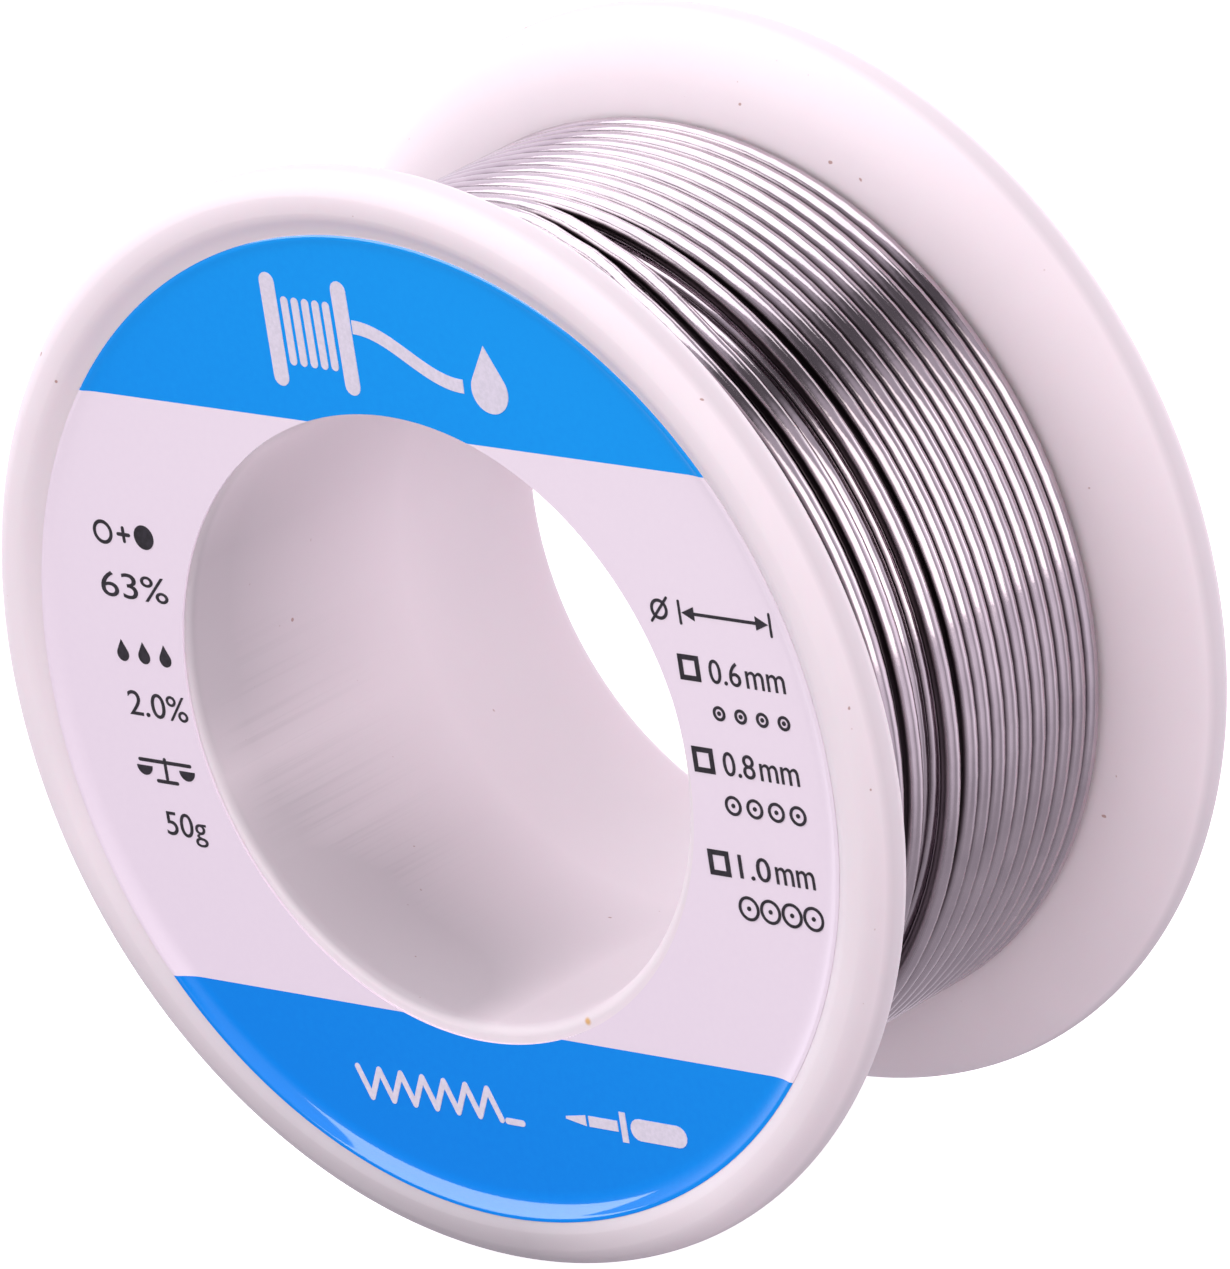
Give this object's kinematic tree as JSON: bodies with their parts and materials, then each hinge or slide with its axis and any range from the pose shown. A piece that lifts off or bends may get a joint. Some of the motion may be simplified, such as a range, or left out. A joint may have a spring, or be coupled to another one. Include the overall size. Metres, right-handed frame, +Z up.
{
  "type": "solder wire spool",
  "caption": "Small one-piece plastic reel of flux-cored solder wire, with a round label on its front, a plain spindle bore and the last turns wound loosely.",
  "frame": {"origin": "centre of the spindle bore, midway between the two rims", "axes": "+Y along the bore, from the labelled front to the back; +Z up, as the label is read; +X to the label's right"},
  "size_m": [0.044, 0.0216, 0.044],
  "materials": {
    "reel_plastic": "moulded, satin",
    "label_film": "satin coated, stuck on",
    "solder": "bright drawn tin alloy",
    "flux": "rosin, sealed in the wire"
  },
  "bodies": {
    "root": {"spool_body": "reel_plastic", "front_label": "label_film", "wire_layer_1": "solder", "wire_layer_2": "solder", "wire_layer_3": "solder", "wire_layer_4": "solder", "wire_layer_5": "solder", "wire_layer_6": "solder", "wire_layer_7": "solder", "wire_last_turns": "solder", "flux_core_1": "flux", "flux_core_2": "flux", "flux_core_3": "flux", "flux_core_4": "flux", "flux_core_5": "flux", "flux_core_6": "flux", "flux_core_7": "flux", "flux_core_last_turns": "flux"}
  },
  "joints": []
}
